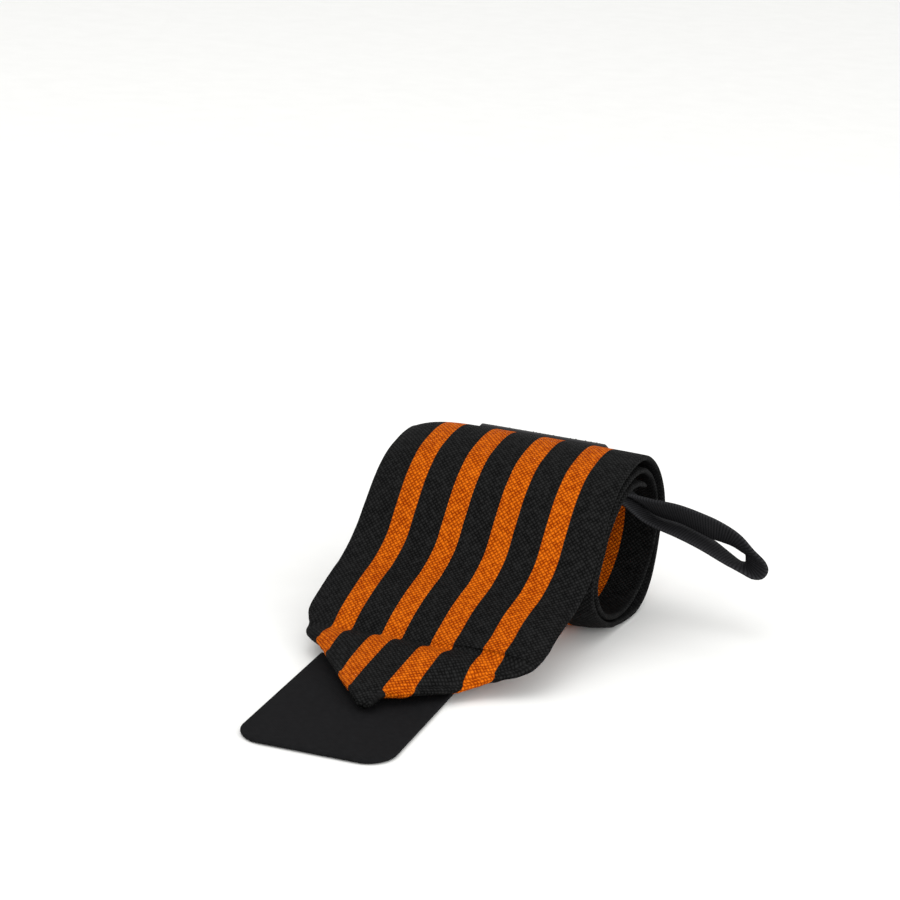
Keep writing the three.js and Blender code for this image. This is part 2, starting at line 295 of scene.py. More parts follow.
def roll_point(angle_deg, inset):
    """Place in the roll's section, (y, z), inset millimetres inside its oval."""
    angle = np.radians(angle_deg)
    depth = (ROLL_HALF_DEPTH - inset) * np.cos(angle)
    height = (ROLL_HALF_HEIGHT - inset) * np.sin(angle)
    rise = np.hypot(ROLL_HALF_DEPTH * np.sin(ROLL_LEAN), ROLL_HALF_HEIGHT * np.cos(ROLL_LEAN)) - ROLL_SINK
    y = depth * np.cos(ROLL_LEAN) - height * np.sin(ROLL_LEAN)
    return np.stack([y, rise + depth * np.sin(ROLL_LEAN) + height * np.cos(ROLL_LEAN)], -1)


print("the top of the roll's oval lies at", roll_point(90, 0).round(1))

# %% Path from the inner end to the tip
turns = round((WINDING[-1, 0] - WINDING[0, 0]) / WINDING_STEP_DEG)
angles = np.linspace(WINDING[0, 0], WINDING[-1, 0], turns + 1)
wound = roll_point(angles, eased(WINDING, 1, angles))
free = FREE_END[:, :2] * (-1, 1)
path = smooth_curve(np.concatenate([wound, free]))
path[:, 1] = np.maximum(path[:, 1], 0)
path_length = along(path)
drops = np.concatenate([np.stack([eased(WINDING, c, angles) for c in (2, 3)], 1), FREE_END[:, 2:]])
station = np.arange(len(path)) / CURVE_STEPS
path_drops = np.stack([np.interp(station, np.arange(len(drops)), drops[:, c]) for c in (0, 1)], 1)
path_out = np.where(station >= len(wound), -path[:, 0], 0)
path_angle = np.interp(station, np.arange(len(angles)), angles)
BAND_LENGTH = path_length[-1]
band_low, band_high = np.array(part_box("wrap_band")) / MM
# from the roll's own frame, x from the band's left edge and y from the roll's axis, to the CAD frame
TO_FRAME = np.array((band_low[0], band_high[1] - path[:, 0].max(), 0))
print("the roll's axis lies at", TO_FRAME.round(2))
print("the band is", round(BAND_LENGTH, 1), "mm long on its outer face")

# %% [markdown]
# ## The band
# The band is one mesh, a row every 0.9 mm, and finer at the free end. On the roll it is a plain strip whose
# edges curve in a little. At the free end both corners are folded under along slanting lines, as on a paper
# dart, so the point is two layers thick and its edges are round folds. The stripes don't narrow with the
# point: they run straight on and go over the folds. So the flat place of a vertex is its true distance
# across the cloth, and round a fold it keeps going, square to the fold.

# %% Measures of the band
ROW_MM = 0.9
FINE_ROW_MM = 0.45
FINE_LENGTH = 58
NUB_START = 100.3
NUB_BLACK = 44.6
BAND_COLUMNS = 52
EDGE_DROP_POWER = 6
POINT_DROP_POWER = 3
ARCH_START, ARCH_END = 63, 71
FOLD_START, FOLD_END = 63, 69
FOLD_THICKNESS = 3.4
FOLD_EDGE_THICKNESS = 2.7
SWELL_POWER = 4
STEEPEST_FOLD = 1.2
# least height of the point's underside over the tab, and the tab's right edge, beside which it may hang lower
TAB_CLEARANCE, TAB_RIGHT = 1.65, 59.5
END_ROUND = 1.2
# the crease across the band slants between these places across, farther out to the right
CREASE_FROM, CREASE_TO, CREASE_SLANT = 32, 65, 0.08
# distances out between which the slant comes in and goes out again
SLANT_IN, SLANT_OUT = (61, 67), (74, 82)
# near the right edge the crease runs out, so its floor is raised: height, distance out and places across
CREASE_FILL, CREASE_FILL_OUT, CREASE_FILL_REACH = 1.5, 70.6, 3.0
CREASE_FILL_ACROSS = (48, 60)
# at the roll's back the outer layer was wound a little to the right: angles where it begins, is full and ends
SWAY_FROM, SWAY_FULL, SWAY_TO, SWAY = -30, -6, 60, 0.9
# how much higher the band's right side lies than its left along the ramp: distance out, mm over the width
RAMP_TWIST = np.array([(45, 0), (50, 0.9), (55, 1.9), (66, 1.9), (71, 0)])
print("the point is", FOLD_THICKNESS, "mm thick, and its folds are", FOLD_EDGE_THICKNESS, "mm")

# %% Faces and edges of the band


def sections_at(places):
    """Sections of the band at lengths from its inner end: (y, z), normal, edge drops and distance out."""
    spot = np.stack([np.interp(places, path_length, path[:, c]) for c in (0, 1)], 1)
    reach = 0.3
    ahead = np.stack([np.interp(places + reach, path_length, path[:, c]) for c in (0, 1)], 1)
    behind = np.stack([np.interp(places - reach, path_length, path[:, c]) for c in (0, 1)], 1)
    slope = ahead - behind
    slope /= np.linalg.norm(slope, axis=1)[:, None]
    normal = np.stack([slope[:, 1], -slope[:, 0]], 1)
    drop = np.stack([np.interp(places, path_length, path_drops[:, c]) for c in (0, 1)], 1)
    return spot, normal, drop, np.interp(places, path_length, path_out)


def outer_face(section, x, low, high):
    """Points of the band's outer face at places x across it, between its edges low and high."""
    spot, normal, drop, out = section
    share = (x - low[:, None]) / (high - low)[:, None]
    arched = smoothstep(out, ARCH_START, ARCH_END)
    power = EDGE_DROP_POWER + (POINT_DROP_POWER - EDGE_DROP_POWER) * arched[:, None]
    down = np.where(share < 0.5, drop[:, :1], drop[:, 1:]) * np.abs(2 * share - 1) ** power
    tipped = np.interp(out, RAMP_TWIST[:, 0], RAMP_TWIST[:, 1], left=0, right=0)
    twist = tipped[:, None] * (x / BAND_WIDTH - 0.5)
    slid = CREASE_SLANT * (np.clip(x, CREASE_FROM, CREASE_TO) - CREASE_FROM)
    near_crease = (smoothstep(out, *SLANT_IN) * (1 - smoothstep(out, *SLANT_OUT)))[:, None]
    straight_height = np.interp(out, path_out, path[:, 1])[:, None]
    slid_height = np.interp(out[:, None] - slid, path_out, path[:, 1]) - straight_height
    near_fill = np.exp(-(((out - CREASE_FILL_OUT) / CREASE_FILL_REACH) ** 2))[:, None]
    filled = CREASE_FILL * smoothstep(x, *CREASE_FILL_ACROSS) * near_fill
    raised = twist + slid_height * near_crease + filled - down
    in_plane = spot[:, None] + normal[:, None] * raised[..., None]
    return np.concatenate([x[..., None], in_plane], -1)


def edge_lines(places, out):
    """Left and right edge of the band, and how fast each moves in, at these places and distances out."""
    found = []
    for column in (1, 2):
        line = np.interp(out, POINT_EDGES[:, 0], POINT_EDGES[:, column])
        found.append(np.convolve(np.pad(line, 2, mode="edge"), np.full(5, 1 / 5), mode="valid"))
    angle = np.interp(places, path_length, path_angle)
    found[1] += SWAY * smoothstep(angle, SWAY_FROM, SWAY_FULL) * (1 - smoothstep(angle, SWAY_FULL, SWAY_TO))
    rates = [np.where(out > FOLD_START, np.abs(np.gradient(line, places)), 0) for line in found]
    return *found, *np.minimum(rates, STEEPEST_FOLD)


print("the inner end lies at", sections_at(np.zeros(1))[0][0].round(1), "in the roll's section")

# %% Band mesh
ends = np.array((0, 0.2, 0.5))
coarse = np.arange(ROW_MM, BAND_LENGTH - FINE_LENGTH, ROW_MM)
fine = np.arange(coarse[-1] + FINE_ROW_MM, BAND_LENGTH - ROW_MM, FINE_ROW_MM)
row_places = np.concatenate([ends, coarse, fine, BAND_LENGTH - ends[::-1]])
band_section = sections_at(row_places)
_, normal, _, out = band_section
low, high, low_rate, high_rate = edge_lines(row_places, out)
folded = smoothstep(out, FOLD_START, FOLD_END)
edge_thickness = BAND_THICKNESS + (FOLD_EDGE_THICKNESS - BAND_THICKNESS) * folded
low_stretch, high_stretch = np.hypot(1, low_rate), np.hypot(1, high_rate)
low_round, high_round = edge_thickness / 2 * low_stretch, edge_thickness / 2 * high_stretch

share = np.linspace(0, 1, BAND_COLUMNS)
x = (low + low_round)[:, None] + (high - high_round - low - low_round)[:, None] * share
top = outer_face(band_section, x, low, high)
swell = (FOLD_THICKNESS - FOLD_EDGE_THICKNESS) * folded[:, None] * (1 - np.abs(2 * share - 1) ** SWELL_POWER)
thickness = edge_thickness[:, None] + swell
into = np.concatenate([0 * normal[:, :1], -normal], 1)[:, None]
bottom = top + into * thickness[..., None]
over_tab = (out > FOLD_END)[:, None] & (x < TAB_RIGHT)
bottom[..., 2] = np.where(over_tab, np.maximum(bottom[..., 2], TAB_CLEARANCE), np.maximum(bottom[..., 2], 0))
roundness = rounded_ends(row_places, BAND_LENGTH, END_ROUND, least=0.15)[:, None, None]
middle = (top + bottom) / 2
top, bottom = middle + (top - middle) * roundness, middle + (bottom - middle) * roundness

across = np.array((1.0, 0, 0))
left_edge = round_edge(top[:, 0], bottom[:, 0], -across * low_round[:, None])
right_edge = round_edge(top[:, -1], bottom[:, -1], across * high_round[:, None])
rings = ring_of(left_edge, top, right_edge, bottom)
print("the band has", len(rings), "rows of", rings.shape[1], "points")

# %% Flat places on the band
flat = np.stack([x, np.broadcast_to(row_places[:, None], x.shape), 0 * x], -1)
turned = edge_thickness[:, None] / 2 * edge_angles
left_flat = np.stack([
    x[:, :1] - turned / low_stretch[:, None],
    row_places[:, None] + turned * (low_rate / low_stretch)[:, None],
    0 * turned,
], -1)
right_flat = np.stack([
    x[:, -1:] + turned / high_stretch[:, None],
    row_places[:, None] + turned * (high_rate / high_stretch)[:, None],
    0 * turned,
], -1)
# the nub's side is the black margin of the cloth that is folded under
nub = (out > NUB_START)[:, None]
right_flat[..., 0] = np.where(nub, np.minimum(right_flat[..., 0], NUB_BLACK), right_flat[..., 0])
lay = ring_of(left_flat, flat, right_flat, flat)
band = sheet_piece("wrap_band_cloth", rings + TO_FRAME, lay, strips=2)

# %% [markdown]
# ## Small helpers for finishes
# Colours are picked as sRGB hex values, the way a colour picker shows them, and one function turns them to
# the linear numbers that shaders use. Another small function adds a shader node with its settings and
# links, so each material below reads as a list of steps.

# %% Colour and node helpers


def to_linear(hex_colour):
    parts = np.array([int(hex_colour[i : i + 2], 16) for i in (1, 3, 5)]) / 255
    linear = np.where(parts <= 0.04045, parts / 12.92, ((parts + 0.055) / 1.055) ** 2.4)
    return (*linear.tolist(), 1.0)


def add(tree, kind, inputs, **settings):
    """Adds a shader node. An input is a plain value, a socket, or a node whose first output is used."""
    made = tree.nodes.new("ShaderNode" + kind)
    for name, value in settings.items():
        setattr(made, name, value)
    for key, value in inputs.items():
        if isinstance(value, bpy.types.Node):
            value = value.outputs[0]
        if isinstance(value, bpy.types.NodeSocket):
            tree.links.new(value, made.inputs[key])
        else:
            made.inputs[key].default_value = value
    return made


def new_finish(name):
    """A material with its node tree and Principled shader."""
    finish = bpy.data.materials.new(name)
    finish.use_nodes = True
    return finish, finish.node_tree, finish.node_tree.nodes["Principled BSDF"]


print("orange in linear numbers:", [round(part, 3) for part in to_linear("#D0600C")[:3]])

# %% [markdown]
# ## Woven elastic
# Wrist wraps are woven from polyester yarn over rubber cores. The yarns cross on the slant, so the face is
# a field of small diamonds, each the hump of one yarn passing over another. A picture of cloth could be
# wrapped round the band, but two slanted sine waves give the same plait at any size: where both have the
# same sign one yarn lies on top, and elsewhere the other. The humps set the bump and lighten the yarn's
# colour, as they catch the light in the photo.

# %% Plait of the yarns
# Plaited polyester over rubber: dull black, with a painted highlight on every hump, a bright speckle on the
# orange and a faint one on the black
PLAIT_MM = 1.5
PLAIT_DEPTH_MM = 0.3

woven, tree, shader = new_finish("woven_polyester_elastic")
flat_place = add(tree, "Attribute", {}, attribute_name="lay").outputs["Vector"]
place = add(tree, "SeparateXYZ", {0: flat_place})
waves, cells = [], []
for slant in ("ADD", "SUBTRACT"):
    diagonal = add(tree, "Math", {0: place.outputs["X"], 1: place.outputs["Y"]}, operation=slant)
    cell = add(tree, "Math", {0: diagonal, 1: 1 / PLAIT_MM}, operation="MULTIPLY")
    turn = add(tree, "Math", {0: cell, 1: np.pi}, operation="MULTIPLY")
    waves.append(add(tree, "Math", {0: turn}, operation="SINE"))
    cells.append(add(tree, "Math", {0: cell}, operation="FLOOR"))
both = add(tree, "Math", {0: waves[0], 1: waves[1]}, operation="MULTIPLY")
first_on_top = add(tree, "Math", {0: both, 1: 0.0}, operation="GREATER_THAN")
humps = [add(tree, "Math", {0: wave}, operation="ABSOLUTE") for wave in waves]
arches = [add(tree, "Math", {0: hump, 1: 0.5, 2: 0.5}, operation="MULTIPLY_ADD") for hump in humps]
yarns = [add(tree, "Math", {0: humps[i], 1: arches[1 - i]}, operation="MULTIPLY") for i in (0, 1)]
plait = add(tree, "Mix", {0: first_on_top, 2: yarns[0], 3: yarns[1]}, data_type="FLOAT")
print("each yarn is", round(PLAIT_MM / np.sqrt(2), 2), "mm wide")

# %% Stripes of the woven elastic
STRIPE_START_MM, STRIPE_WIDTH_MM, STRIPE_PITCH_MM, STRIPES = 11.35, 6.95, 16.8, 4

yarn_number = add(tree, "CombineXYZ", {0: cells[0], 1: cells[1]})
chance = add(tree, "TexWhiteNoise", {"Vector": yarn_number}, noise_dimensions="2D").outputs["Value"]
spread = add(tree, "Math", {0: chance, 1: 0.4, 2: -0.12}, operation="MULTIPLY_ADD")
# Painted highlight and shade: each hump's crest is painted lighter and the dips between it darker, on the
# black as on the orange, with a random tone for each yarn on top
crest = add(tree, "Math", {0: plait, 1: 2.0}, operation="POWER")
hump_highlight_and_yarn_tone = add(tree, "Math", {0: crest, 1: 0.75, 2: spread}, operation="MULTIPLY_ADD", use_clamp=True)
orange = add(tree, "Mix", {0: hump_highlight_and_yarn_tone, 6: to_linear("#822C00"), 7: to_linear("#E07210")}, data_type="RGBA")
black = add(tree, "Mix", {0: hump_highlight_and_yarn_tone, 6: to_linear("#090909"), 7: to_linear("#252525")}, data_type="RGBA")

across_share = add(tree, "Math", {0: place.outputs["X"], 1: 1 / BAND_WIDTH}, operation="MULTIPLY")
stripes = add(tree, "ValToRGB", {0: across_share})
ramp = stripes.color_ramp
ramp.interpolation = "CONSTANT"
ramp.elements.remove(ramp.elements[1])
ramp.elements[0].color = (0, 0, 0, 1)
for number in range(STRIPES):
    edge = STRIPE_START_MM + number * STRIPE_PITCH_MM
    ramp.elements.new(edge / BAND_WIDTH).color = (1, 1, 1, 1)
    ramp.elements.new((edge + STRIPE_WIDTH_MM) / BAND_WIDTH).color = (0, 0, 0, 1)
yarn_colour = add(tree, "Mix", {0: stripes, 6: black.outputs[2], 7: orange.outputs[2]}, data_type="RGBA")

relief = add(tree, "Bump", {"Height": plait, "Strength": 0.8, "Distance": PLAIT_DEPTH_MM * MM})
tree.links.new(yarn_colour.outputs[2], shader.inputs["Base Color"])
tree.links.new(relief.outputs[0], shader.inputs["Normal"])
shader.inputs["Roughness"].default_value = 0.7
shader.inputs["Specular IOR Level"].default_value = 0.02
band.data.materials.append(woven)
print("weave:", PLAIT_MM, "mm diamonds and", STRIPES, "stripes of", STRIPE_WIDTH_MM, "mm")

# %% [markdown]
# ## Pile patch
# On the back of the roll a patch of soft loop tape is sewn to the band, as wide as the hook tab that grips
# it. Real pile is thousands of tiny nylon loops. A hair system could stand for it, but hair isn't a mesh
# that can be exported, so the patch is a low sheet with real arched loops of yarn on it, fewer and thicker
# than the real ones.

# %% Patch mesh
PATCH_LEFT, PATCH_RIGHT = 20.5, 64.0
PATCH_FROM_TIP, PATCH_LENGTH = 139.6, 45.6
PATCH_BASE = 1.3
PATCH_GAP = 0.08
PATCH_STEP = 0.9
PATCH_ROUND = 0.5

PATCH_TO = BAND_LENGTH - PATCH_FROM_TIP
PATCH_FROM = PATCH_TO - PATCH_LENGTH
patch_places = np.linspace(PATCH_FROM, PATCH_TO, round(PATCH_LENGTH / PATCH_STEP) + 1)
patch_section = sections_at(patch_places)
PATCH_WIDTH = PATCH_RIGHT - PATCH_LEFT
patch_columns = round(PATCH_WIDTH / PATCH_STEP)
patch_share = np.linspace(0, 1, patch_columns)
patch_row = PATCH_LEFT + PATCH_BASE / 2 + (PATCH_WIDTH - PATCH_BASE) * patch_share
patch_x = np.tile(patch_row, (len(patch_places), 1))
no_edge = 0 * patch_places
on_band = outer_face(patch_section, patch_x, no_edge, no_edge + BAND_WIDTH)
outwards = np.concatenate([0 * patch_section[1][:, :1], patch_section[1]], 1)[:, None]
bottom = on_band + outwards * PATCH_GAP
roundness = rounded_ends(patch_places - PATCH_FROM, PATCH_LENGTH, PATCH_ROUND, least=0.2)[:, None, None]
top = bottom + outwards * PATCH_BASE * roundness
reach = np.tile(across * PATCH_BASE / 2, (len(patch_places), 1))
rings = round_sheet(top, bottom, reach)
flat = np.stack([patch_x, np.broadcast_to(patch_places[:, None], patch_x.shape), 0 * patch_x], -1)
edge_flat = np.repeat(flat[:, :1], EDGE_POINTS, 1)
lay = ring_of(edge_flat, flat, np.repeat(flat[:, -1:], EDGE_POINTS, 1), flat)
patch = sheet_piece("pile_patch_cloth", rings + TO_FRAME, lay)

# %% Pile loops
PILE_SPACING = 0.95
PILE_SPAN = 0.75
PILE_RISE = 0.62
PILE_YARN = 0.13
PILE_BORDER = 2.6
PILE_ROOT = 0.1
# most that chance moves a loop from its place in the grid, and leans it
PILE_SCATTER, PILE_LEAN = 0.3, 0.25
loop_steps = np.linspace(0, np.pi, 6)
yarn_corners = np.arange(4) * np.pi / 2
chance_draw = np.random.default_rng(7)

grid_x = np.arange(PATCH_LEFT + PILE_BORDER, PATCH_RIGHT - PILE_BORDER, PILE_SPACING)
grid_s = np.arange(PATCH_FROM + PILE_BORDER, PATCH_TO - PILE_BORDER, PILE_SPACING)
loop_x, loop_s = (part.ravel() for part in np.meshgrid(grid_x, grid_s))
loop_x = loop_x + chance_draw.uniform(-PILE_SCATTER, PILE_SCATTER, len(loop_x))
loop_s = loop_s + chance_draw.uniform(-PILE_SCATTER, PILE_SCATTER, len(loop_s))
loop_turn = chance_draw.uniform(0, np.pi, len(loop_x))
loop_lean = chance_draw.uniform(-PILE_LEAN, PILE_LEAN, len(loop_x))
loop_section = sections_at(loop_s)
foot = outer_face(loop_section, loop_x[:, None], 0 * loop_s, 0 * loop_s + BAND_WIDTH)[:, 0]
rise = np.concatenate([0 * loop_x[:, None], loop_section[1]], 1)
back = np.cross(rise, across)
way = across * np.cos(loop_turn)[:, None] + back * np.sin(loop_turn)[:, None]
side = np.cross(rise, way)
foot = foot + rise * (PATCH_GAP + PATCH_BASE - PILE_ROOT)
arch = foot[:, None] - way[:, None] * (PILE_SPAN / 2 * np.cos(loop_steps))[None, :, None]
arch = arch + (rise + side * loop_lean[:, None])[:, None] * (PILE_RISE * np.sin(loop_steps))[None, :, None]
spoke = -way[:, None] * np.cos(loop_steps)[None, :, None] + rise[:, None] * np.sin(loop_steps)[None, :, None]
rim = spoke[:, :, None] * np.cos(yarn_corners)[None, None, :, None]
rim = rim + side[:, None, None] * np.sin(yarn_corners)[None, None, :, None]
pile_points = (arch[:, :, None] + PILE_YARN * rim).reshape(-1, 3)
step, corner = np.meshgrid(np.arange(len(loop_steps) - 1) * 4, np.arange(4), indexing="ij")
step, corner = step.ravel(), corner.ravel()
next_corner = (corner + 1) % 4
one_loop = np.stack([step + corner, step + next_corner, step + 4 + next_corner, step + 4 + corner], 1)
last = 4 * (len(loop_steps) - 1)
one_loop = np.concatenate([one_loop, [(3, 2, 1, 0)], [(last, last + 1, last + 2, last + 3)]])
pile_faces = (one_loop[None] + 4 * len(loop_steps) * np.arange(len(loop_x))[:, None, None]).reshape(-1, 4)
pile_mesh = bpy.data.meshes.new("pile_patch_loops")
pile_mesh.from_pydata(((pile_points + TO_FRAME) * MM).tolist(), [], pile_faces.tolist())
pile_mesh.shade_smooth()
pile = bpy.data.objects.new("pile_patch_loops", pile_mesh)
bpy.context.scene.collection.objects.link(pile)
print(len(loop_x), "pile loops with", 2 * len(pile_faces), "triangles")

# %% Brushed nylon pile
# Nylon loops, brushed: a deep soft black that goes a little grey at a slant
pile_finish, tree, shader = new_finish("brushed_nylon_pile")
tint = add(tree, "TexNoise", {"Scale": 600.0, "Detail": 2.0})
shade = add(tree, "Mix", {0: tint, 6: to_linear("#0D0D0E"), 7: to_linear("#29292B")}, data_type="RGBA")
tree.links.new(shade.outputs[2], shader.inputs["Base Color"])
shader.inputs["Roughness"].default_value = 0.85
shader.inputs["Specular IOR Level"].default_value = 0.2
shader.inputs["Sheen Weight"].default_value = 0.15
shader.inputs["Sheen Roughness"].default_value = 0.5
patch.data.materials.append(pile_finish)
pile.data.materials.append(pile_finish)
print(pile_finish.name, "is on", patch.name, "and", pile.name)

# %% [markdown]
# ## Hook tab
# The tab is a piece of hook tape, sewn under the point with its hooks facing down, so what shows is its
# plain woven back: matte, dark grey and almost smooth. A plane with a bevel could make it, but it is cut
# with round front corners, so each row across it gets its own width, and the rows lie close together where
# the corners turn.

# %% Tab mesh
TAB_WIDTH, TAB_LENGTH, TAB_THICKNESS = 46.6, 68.0, 1.3
TAB_CORNER = 9.0
TAB_FRONT = np.array((40.85, -136.8, 0.0))
TAB_FRONT_SLANT = -0.03
TAB_TURN = np.radians(6)
TAB_COLUMNS = 40
TAB_CORNER_ROWS = 22

corner_rows = TAB_CORNER * (1 - np.cos(np.linspace(0, np.pi / 2, TAB_CORNER_ROWS)))
straight_rows = np.arange(TAB_CORNER + 1, TAB_LENGTH - 0.5, 1.0)
tab_rows = np.concatenate([corner_rows, straight_rows, TAB_LENGTH - ends[::-1]])
inward = np.clip(TAB_CORNER - tab_rows, 0, TAB_CORNER)
half_width = TAB_WIDTH / 2 - TAB_CORNER + np.sqrt(TAB_CORNER**2 - inward**2)
tab_round = TAB_THICKNESS / 2
share = np.linspace(-1, 1, TAB_COLUMNS)
tab_x = (half_width - tab_round)[:, None] * share
# the front is cut a little off square
tab_y = tab_rows[:, None] + TAB_FRONT_SLANT * tab_x * (1 - tab_rows / TAB_LENGTH)[:, None]
roundness = rounded_ends(tab_rows, TAB_LENGTH, tab_round, least=0.3)[:, None]
top = np.stack([tab_x, tab_y, tab_round * (1 + roundness) + 0 * tab_x], -1)
bottom = np.stack([tab_x, tab_y, tab_round * (1 - roundness) + 0 * tab_x], -1)
reach = np.tile(across * tab_round, (len(tab_rows), 1))
rings = round_sheet(top, bottom, reach)
spin = np.array([
    (np.cos(TAB_TURN), -np.sin(TAB_TURN), 0),
    (np.sin(TAB_TURN), np.cos(TAB_TURN), 0),
    (0, 0, 1),
])
tab = sheet_piece("hook_tab_tape", rings @ spin.T + TAB_FRONT + TO_FRAME, rings)

# %% Woven nylon tape
# Back of hook tape: close plain weave set with resin, so flat, matte and dark grey, with only a faint grain
TAPE_THREAD_MM = 0.5
tape_finish, tree, shader = new_finish("woven_nylon_hook_tape")
flat_place = add(tree, "Attribute", {}, attribute_name="lay").outputs["Vector"]
place = add(tree, "SeparateXYZ", {0: flat_place})
threads = []
for axis in ("X", "Y"):
    turn = add(tree, "Math", {0: place.outputs[axis], 1: np.pi / TAPE_THREAD_MM}, operation="MULTIPLY")
    threads.append(add(tree, "Math", {0: turn}, operation="SINE"))
grain = add(tree, "Math", {0: threads[0], 1: threads[1]}, operation="MULTIPLY")
mottle = add(tree, "TexNoise", {"Vector": flat_place, "Scale": 0.6, "Detail": 3.0})
shade = add(tree, "Mix", {0: mottle, 6: to_linear("#121213"), 7: to_linear("#1C1C1D")}, data_type="RGBA")
relief = add(tree, "Bump", {"Height": grain, "Strength": 0.5, "Distance": 0.06 * MM})
tree.links.new(shade.outputs[2], shader.inputs["Base Color"])
tree.links.new(relief.outputs[0], shader.inputs["Normal"])
shader.inputs["Roughness"].default_value = 0.8
shader.inputs["Specular IOR Level"].default_value = 0.02
tab.data.materials.append(tape_finish)
print("tab:", TAB_WIDTH, "by", TAB_LENGTH, "mm")

# %% [markdown]
# ## Thumb loop
# A narrow elastic tape, folded double, is sewn to the band's inner end and comes out of the roll's right
# side. Such tape is woven with thick cords along it, which show as ribs. They could be bump in the finish,
# but the edge of the tape would stay smooth, so the ribs are part of the mesh: each row across the tape
# rises and falls a tenth of a millimetre.

# %% Route of the tape
TAPE_WIDTH, TAPE_THICKNESS = 12.0, 1.3
TAPE_ROW = 0.6
TAPE_COLUMNS = 61
TAPE_RIBS = 10
RIB_MM = 0.1
ROOT_ANGLE, INNER_TURN, ROOT_FACE_RADIUS = 56, 720, 15
ROOT_START_X, ROOT_END_X, ROOT_GAP = 65.0, 73.0, 1.0
PIECE_GAP = 0.4
# x, y and height along the upper run, round the nose and back along the lower run, then in degrees
# how far the tape's back edge hangs lower, and how far its front edge leads, as the nose turns like a fan
LOOP = np.array([
    (82.0, 11.8, 36.0, 40, 0),
    (92.0, 12.2, 34.9, 46, 3),
    (101.0, 12.8, 32.4, 51, 8),
    (106.5, 13.4, 30.7, 45, 18),
    (110.1, 13.6, 29.2, 37, 26),
    (113.9, 13.6, 26.6, 22, 36),
    (116.7, 13.6, 24.6, 5, 49),
    (117.3, 13.6, 22.8, -4, 53),
    (116.6, 13.6, 21.0, -12, 45),
    (115.1, 13.6, 20.4, -7, 32),
    (112.8, 13.6, 20.9, 4, 17),
    (109.9, 13.6, 21.8, 10, 4),
    (105.2, 13.6, 24.0, 7, 1),
    (101.0, 13.6, 26.0, 4, 0),
    (92.0, 13.6, 29.1, 1, 0),
    (82.0, 13.2, 31.2, 9, 0),
])
print(len(LOOP), "stations round the thumb loop")

# %% Tape path


def inner_face(angle):
    return roll_point(angle, eased(WINDING, 1, np.float64(angle - INNER_TURN)) + BAND_THICKNESS)


face = inner_face(ROOT_ANGLE)
forward = inner_face(ROOT_ANGLE + 1) - face
forward = forward / np.linalg.norm(forward)
inwards = np.array((-forward[1], forward[0]))
root_tilt = np.degrees(np.arctan2(forward[1], -forward[0]))
upper_root = face + inwards * (ROOT_GAP + TAPE_WIDTH**2 / (8 * ROOT_FACE_RADIUS) + TAPE_THICKNESS / 2)
lower_root = upper_root + inwards * (PIECE_GAP + TAPE_THICKNESS)
tape_start = [(place, *upper_root, root_tilt, 0) for place in (ROOT_START_X, ROOT_END_X)]
tape_end = [(place, *lower_root, root_tilt, 0) for place in (ROOT_END_X, ROOT_START_X)]
tape_stations = np.concatenate([tape_start, LOOP, tape_end])
tilts, leads = np.radians(tape_stations[:, 3:]).T
tape_line = smooth_curve(tape_stations[:, :3])
tape_spread = smooth_curve(np.stack([
    np.sin(leads),
    -np.cos(leads) * np.cos(tilts),
    np.cos(leads) * np.sin(tilts),
], 1))
tape_length = along(tape_line)
print("the tape is", round(tape_length[-1], 1), "mm long")

# %% Tape mesh
TAPE_LENGTH = tape_length[-1]
middle_rows = np.arange(TAPE_ROW, TAPE_LENGTH - TAPE_ROW, TAPE_ROW)
tape_rows = np.concatenate([ends, middle_rows, TAPE_LENGTH - ends[::-1]])
centre = np.stack([np.interp(tape_rows, tape_length, tape_line[:, c]) for c in range(3)], 1)
spread_way = np.stack([np.interp(tape_rows, tape_length, tape_spread[:, c]) for c in range(3)], 1)
spread_way /= np.linalg.norm(spread_way, axis=1)[:, None]
run_way = np.gradient(centre, tape_rows, axis=0)
face_way = np.cross(run_way, spread_way)
face_way /= np.linalg.norm(face_way, axis=1)[:, None]
share = np.linspace(-1, 1, TAPE_COLUMNS)
half = TAPE_WIDTH / 2 - TAPE_THICKNESS / 2
line = centre[:, None] + spread_way[:, None] * (half * share)[None, :, None]
ribbed = TAPE_THICKNESS / 2 - RIB_MM + RIB_MM * np.abs(np.sin(np.pi * TAPE_RIBS * (share + 1) / 2))
roundness = rounded_ends(tape_rows, TAPE_LENGTH, TAPE_THICKNESS / 2, least=0.2)[:, None, None]
lift = face_way[:, None] * ribbed[None, :, None] * roundness
top, bottom = line + lift, line - lift
reach = spread_way * TAPE_THICKNESS / 2
rings = round_sheet(top, bottom, reach)
flat = np.stack(np.broadcast_arrays(half * share, tape_rows[:, None], 0.0), -1)
lay = ring_of(np.repeat(flat[:, :1], EDGE_POINTS, 1), flat, np.repeat(flat[:, -1:], EDGE_POINTS, 1), flat)
loop = sheet_piece("thumb_loop_tape", rings + TO_FRAME, lay, strips=3)

# %% Ribbed knitted elastic
# Polyester-covered rubber cords: black, a little shinier than the band, with short stitches across them
CROSS_STITCH_MM = 0.9
ribbed_finish, tree, shader = new_finish("ribbed_polyester_elastic")
flat_place = add(tree, "Attribute", {}, attribute_name="lay").outputs["Vector"]
place = add(tree, "SeparateXYZ", {0: flat_place})
turn = add(tree, "Math", {0: place.outputs["Y"], 1: np.pi / CROSS_STITCH_MM}, operation="MULTIPLY")
wave = add(tree, "Math", {0: turn}, operation="SINE")
stitch = add(tree, "Math", {0: wave}, operation="ABSOLUTE")
shade = add(tree, "Mix", {0: stitch, 6: to_linear("#111112"), 7: to_linear("#2C2C2E")}, data_type="RGBA")
relief = add(tree, "Bump", {"Height": stitch, "Strength": 0.5, "Distance": 0.1 * MM})
tree.links.new(shade.outputs[2], shader.inputs["Base Color"])
tree.links.new(relief.outputs[0], shader.inputs["Normal"])
